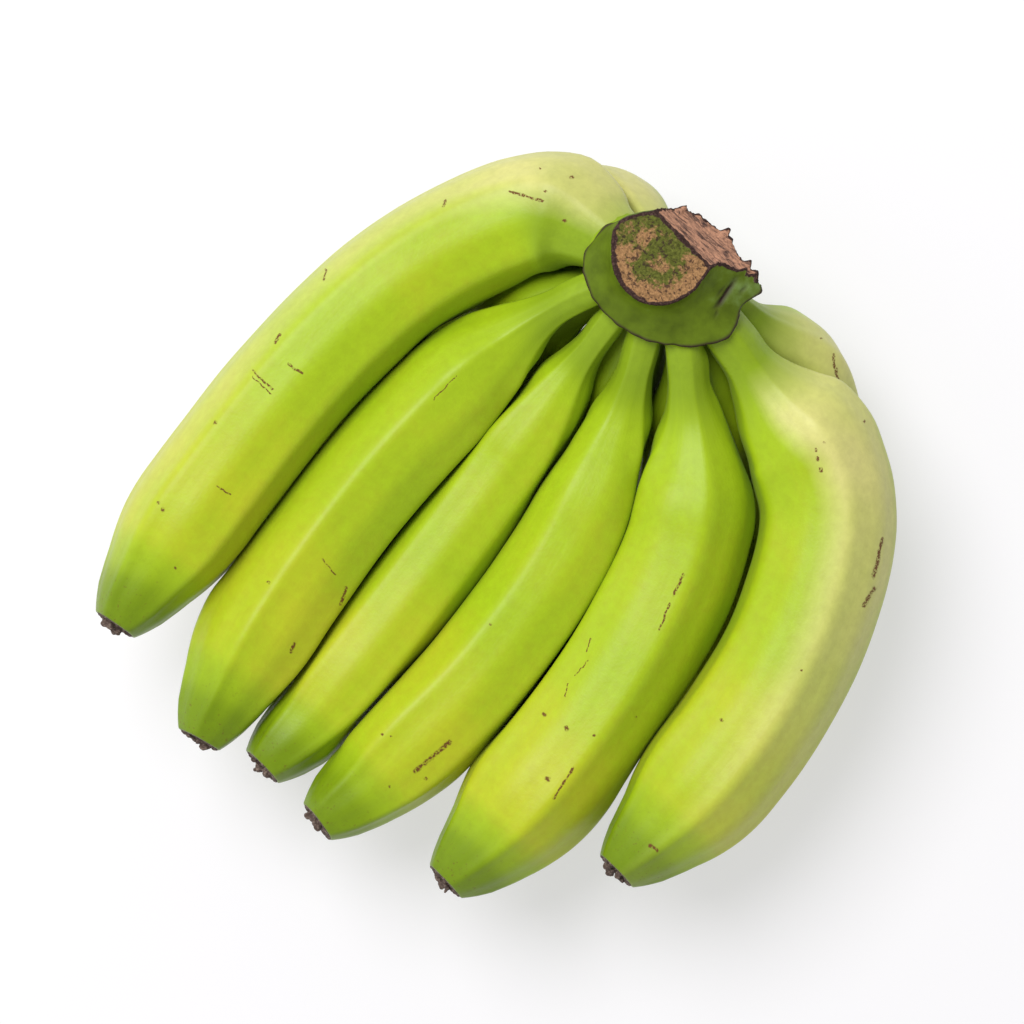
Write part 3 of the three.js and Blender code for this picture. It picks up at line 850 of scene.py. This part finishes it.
def build_blossom(name, blossom, material):
    """A dished dry cap on a fingertip with a raised ring and the knobs of the old flower."""
    finger = name.replace("blossom", "finger")
    rings = sections(finger)
    tip = rings[-1].mean(axis=0)
    way = tip - rings[-2].mean(axis=0)
    way /= np.linalg.norm(way)
    radius = np.linalg.norm(rings[-1] - tip, axis=1).mean() * 0.9
    side = np.cross(way, (0, 0, 1))
    side /= np.linalg.norm(side)
    up = np.cross(side, way)
    sides, seed = 40, sum(map(ord, name))
    profile = ((-0.5, 0.93), (-0.4, 0.98), (0.3, 1.0), (0.75, 0.95), (0.8, 0.86), (0.3, 0.74),
               (0.0, 0.5), (0.0, 0.03))
    places = []
    for height, size in profile:
        for i in range(sides):
            angle = i * 2 * math.pi / sides
            out = up * math.cos(angle) + side * math.sin(angle)
            places.append(tip + way * height * MM + out * radius * size)
    faces = []
    for row in range(len(profile) - 1):
        for i in range(sides):
            a, b = row * sides + i, row * sides + (i + 1) % sides
            faces.append((a, a + sides, b + sides, b))
    faces.append(tuple(range(sides)))
    faces.append(tuple(range((len(profile) - 1) * sides, len(profile) * sides))[::-1])
    dice = np.random.default_rng(seed)
    for _ in range(blossom.crumbs):
        add_lump(places, faces, dice, tip, way, up, side, radius)
    made = mesh_object(name + "_crust", places, faces)
    evaluated(made, ("REMESH", {"mode": "VOXEL", "voxel_size": 0.3 * MM}))
    mesh = made.data
    places = np.array([v.co for v in mesh.vertices])
    normals = np.array([v.normal for v in mesh.vertices])
    crumble = 0.3 * grain(places, 1.1 * MM, seed % 17) + 0.25 * grain(places, 2.4 * MM, seed % 13)
    out = np.clip(((places - tip) @ way) / MM + 0.4, 0, 1)
    places += normals * (out * crumble * MM)[:, None]
    mesh.vertices.foreach_set("co", places.ravel())
    mesh.polygons.foreach_set("use_smooth", [True] * len(mesh.polygons))
    mesh.update()
    mesh.materials.append(material)
    hand_over(made, "blossom_end", name)
    return made


def add_lump(places, faces, dice, tip, way, up, side, radius):
    """A shrivelled knob of the old flower, near the middle of a blossom end."""
    angle = dice.uniform(0, 2 * math.pi)
    middle = tip + (up * math.cos(angle) + side * math.sin(angle)) * radius * dice.uniform(0, 0.6)
    height = dice.uniform(1.0, 3.4) * MM
    width = dice.uniform(0.7, 1.7) * MM
    lean = (up * dice.uniform(-1, 1) + side * dice.uniform(-1, 1)) * 0.9 * MM
    start, sides = len(places), 10
    rows = (
        (-0.2 * MM, 1.1), (0.3 * height, 0.85), (0.6 * height, 0.95), (0.85 * height, 0.75), (height, 0.3),
    )
    for deep, size in rows:
        for i in range(sides):
            turn = i * 2 * math.pi / sides
            out = (up * math.cos(turn) + side * math.sin(turn)) * width * size * dice.uniform(0.7, 1.2)
            places.append(tuple(middle + way * deep + out + lean * deep / height))
    for row in range(len(rows) - 1):
        for i in range(sides):
            a, b = start + row * sides + i, start + row * sides + (i + 1) % sides
            faces.append((a, a + sides, b + sides, b))
    faces.append(tuple(start + i for i in range(sides)))
    faces.append(tuple(start + (len(rows) - 1) * sides + i for i in range(sides))[::-1])


# Operators


class BANANAS_OT_front_fingers(bpy.types.Operator):
    """Build the fingers of the upper row"""

    bl_idname = "bananas.front_fingers"
    bl_label = "Upper fingers"

    def execute(self, context):
        for name in FRONT:
            build_finger(name, context.scene.bananas_peel)
        return {"FINISHED"}


class BANANAS_OT_back_fingers(bpy.types.Operator):
    """Build the fingers of the lower row"""

    bl_idname = "bananas.back_fingers"
    bl_label = "Lower fingers"

    def execute(self, context):
        for name in BACK:
            build_finger(name, context.scene.bananas_peel)
        return {"FINISHED"}


class BANANAS_OT_crown(bpy.types.Operator):
    """Build the crown with its two cuts"""

    bl_idname = "bananas.crown"
    bl_label = "Crown"

    def execute(self, context):
        build_crown(context.scene.bananas_crown, context.scene.bananas_peel)
        return {"FINISHED"}


class BANANAS_OT_blossom_ends(bpy.types.Operator):
    """Build the dried blossom ends"""

    bl_idname = "bananas.blossom_ends"
    bl_label = "Blossom ends"

    def execute(self, context):
        settings = context.scene.bananas_blossom
        material = blossom_material(settings)
        for name in FRONT + BACK:
            build_blossom(name.replace("finger", "blossom"), settings, material)
        return {"FINISHED"}


class BANANAS_OT_stage(bpy.types.Operator):
    """Set up the floor, the lights and the camera"""

    bl_idname = "bananas.stage"
    bl_label = "Stage"

    def execute(self, context):
        scene, stage = context.scene, context.scene.bananas_stage
        floor = mesh_object("floor", [(-6, -6, 0), (6, -6, 0), (6, 6, 0), (-6, 6, 0)], [(0, 1, 2, 3)])
        material, _, shader = blank("floor")
        shader.inputs["Base Color"].default_value = (*stage.floor, 1)
        shader.inputs["Roughness"].default_value = 0.9
        shader.inputs["Specular IOR Level"].default_value = 0.1
        shader.inputs["Emission Color"].default_value = (1, 1, 1, 1)
        shader.inputs["Emission Strength"].default_value = stage.floor_glow
        floor.data.materials.append(material)

        world = bpy.data.worlds.new("surroundings")
        world.use_nodes = True
        tree = world.node_tree
        way = add(tree, "TexCoord").outputs["Generated"]
        height = add(tree, "SeparateXYZ", {0: way}).outputs[2]
        bright = ranged(tree, height, 0.6, 0.97, stage.fill, stage.overhead)
        right = (math.cos(stage.camera_turn), math.sin(stage.camera_turn), 0)
        across = add(tree, "VectorMath", {0: way, 1: right}, operation="DOT_PRODUCT").outputs[1]
        shaded = ranged(tree, across, -0.8, 0.8, 1 + stage.lean, 1 - stage.lean, "LINEAR")
        bright = maths(tree, "MULTIPLY", bright, shaded)
        tree.nodes["Background"].inputs[0].default_value = (1, 1, 1, 1)
        tree.links.new(bright, tree.nodes["Background"].inputs[1])
        scene.world = world
        scene.view_settings.view_transform = "Standard"

        key = bpy.data.lights.new("key", "AREA")
        key.shape = "DISK"
        key.size = KEY_SIZE
        key.energy = stage.key_power
        lamp = bpy.data.objects.new("key", key)
        lamp.location = KEY_PLACE
        lamp.rotation_euler = (-lamp.location).to_track_quat("-Z", "Y").to_euler()
        scene.collection.objects.link(lamp)

        camera = bpy.data.objects.new("camera", bpy.data.cameras.new("camera"))
        camera.data.lens = stage.lens
        camera.location = (*VIEW_CENTRE, stage.camera_height)
        camera.rotation_euler = (0, 0, stage.camera_turn)
        scene.collection.objects.link(camera)
        scene.camera = camera
        return {"FINISHED"}


class BANANAS_PT_panel(bpy.types.Panel):
    """Lists the steps that build the hand"""

    bl_label = "Hand of green bananas"
    bl_space_type = "VIEW_3D"
    bl_region_type = "UI"
    bl_category = "Bananas"

    def draw(self, context):
        for step in STEPS:
            self.layout.operator(step.bl_idname)
        for group in SETTINGS:
            settings = getattr(context.scene, group)
            for key in settings.__annotations__:
                self.layout.prop(settings, key)


STEPS = (
    BANANAS_OT_stage,
    BANANAS_OT_front_fingers,
    BANANAS_OT_back_fingers,
    BANANAS_OT_crown,
    BANANAS_OT_blossom_ends,
)
SETTINGS = {
    "bananas_peel": PeelSettings,
    "bananas_crown": CrownSettings,
    "bananas_blossom": BlossomSettings,
    "bananas_stage": StageSettings,
}


def register():
    for item in (*SETTINGS.values(), *STEPS, BANANAS_PT_panel):
        bpy.utils.register_class(item)
    for name, group in SETTINGS.items():
        setattr(bpy.types.Scene, name, PointerProperty(type=group))


def unregister():
    for name in SETTINGS:
        delattr(bpy.types.Scene, name)
    for item in (BANANAS_PT_panel, *reversed(STEPS), *SETTINGS.values()):
        bpy.utils.unregister_class(item)


def main():
    register()
    bpy.ops.bananas.stage()
    bpy.ops.bananas.front_fingers()
    bpy.ops.bananas.back_fingers()
    bpy.ops.bananas.crown()
    bpy.ops.bananas.blossom_ends()


if __name__ == "__main__":
    main()
